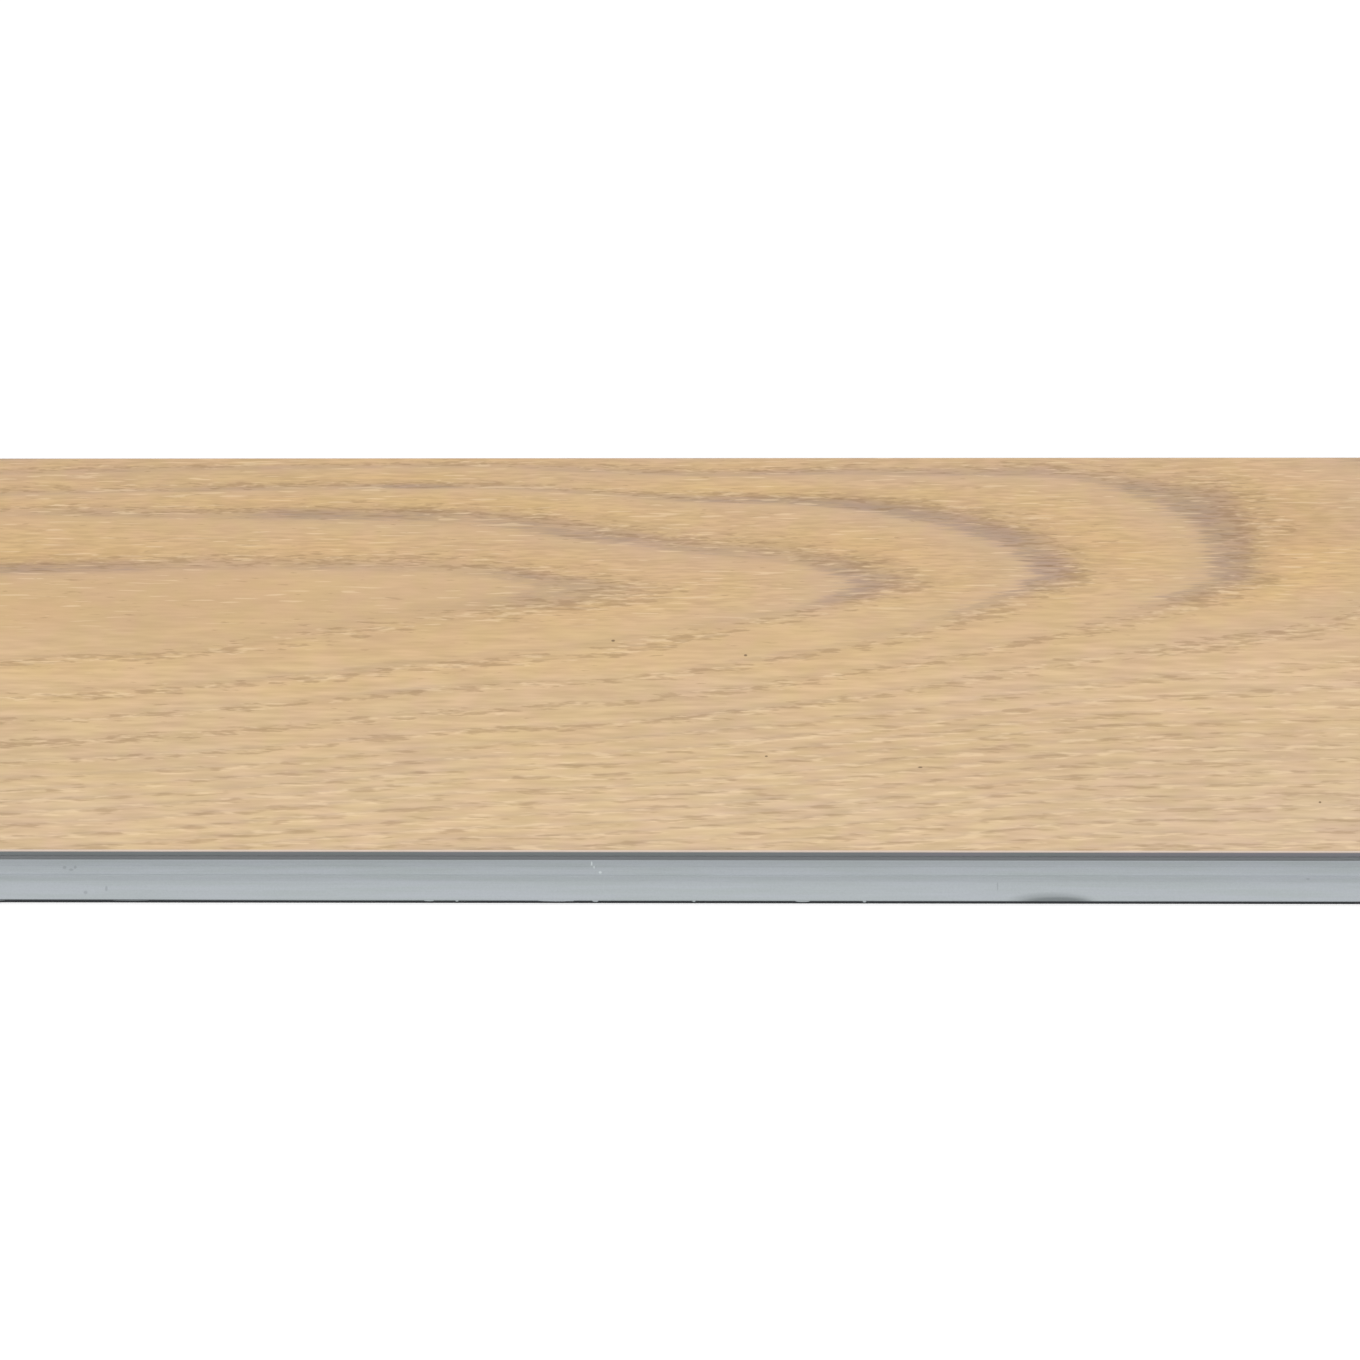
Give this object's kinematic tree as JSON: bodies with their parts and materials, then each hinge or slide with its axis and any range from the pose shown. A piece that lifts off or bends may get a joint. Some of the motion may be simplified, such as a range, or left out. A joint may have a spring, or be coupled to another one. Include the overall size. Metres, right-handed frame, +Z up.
{
  "type": "herringbone vinyl plank",
  "caption": "Flat rigid-core vinyl floor plank for herringbone laying, with a wood-print face, a foam underlay, and a click lip and tongue milled round its edges.",
  "frame": {"origin": "under the middle of the printed face, on the underside of the underlay", "axes": "+X along the plank towards the end with the lip, +Y across it towards the long edge with the tongue, +Z up out of the printed face"},
  "size_m": [0.6106, 0.1106, 0.006],
  "materials": {
    "decor": "satin",
    "core": "matte",
    "underlay": "matte"
  },
  "bodies": {
    "root": {"decor_layer": "decor", "core": "core", "underlay": "underlay"}
  },
  "joints": []
}
